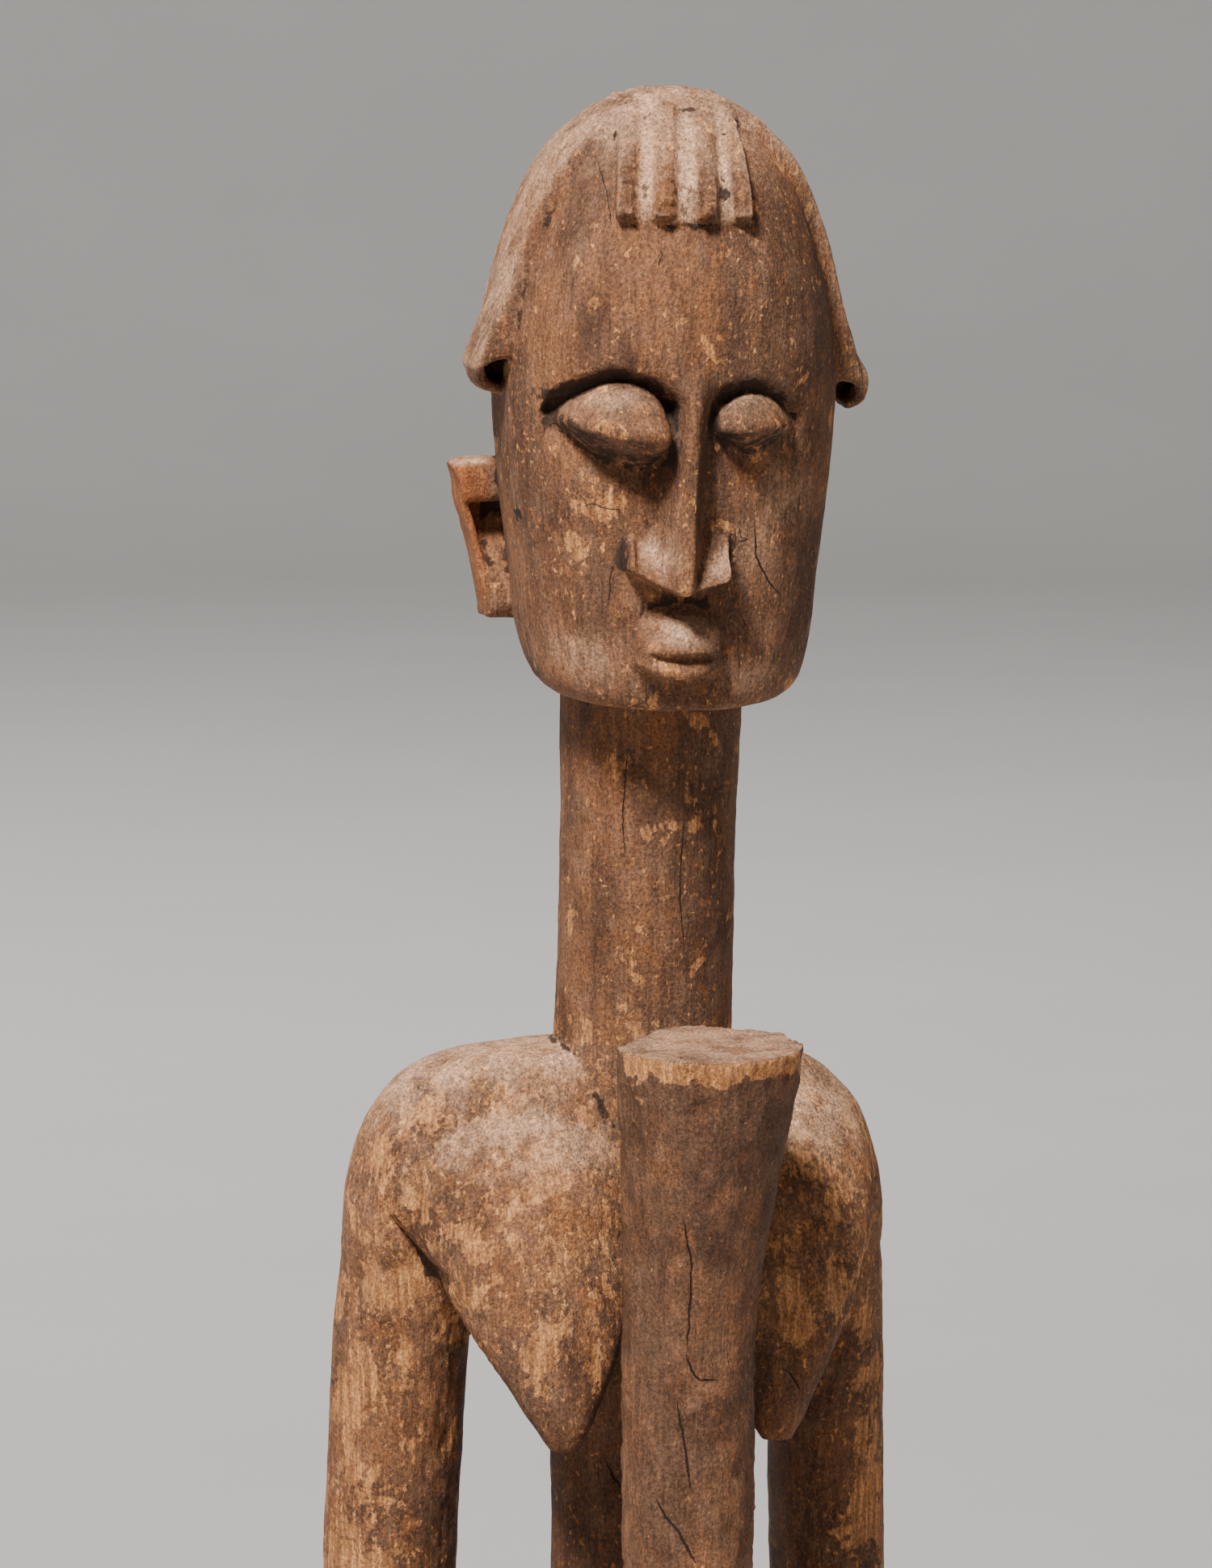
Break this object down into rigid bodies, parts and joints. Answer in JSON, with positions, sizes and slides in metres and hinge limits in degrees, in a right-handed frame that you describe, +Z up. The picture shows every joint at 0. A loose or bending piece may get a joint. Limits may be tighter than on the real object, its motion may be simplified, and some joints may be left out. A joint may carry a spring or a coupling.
{
  "type": "standing woman pounding with a pestle",
  "caption": "Dark carved wooden figure of a standing woman with a tall neck and ridged hair, who holds an upright pestle in a mortar on a low round base.",
  "frame": {"origin": "centre of the underside of the round base", "axes": "+Z up, the figure faces -Y, her left hand is at +X"},
  "size_m": [0.152, 0.152, 0.6292],
  "materials": {
    "old_wood": "matte worn patina"
  },
  "bodies": {
    "root": {"figure": "old_wood"}
  },
  "joints": []
}
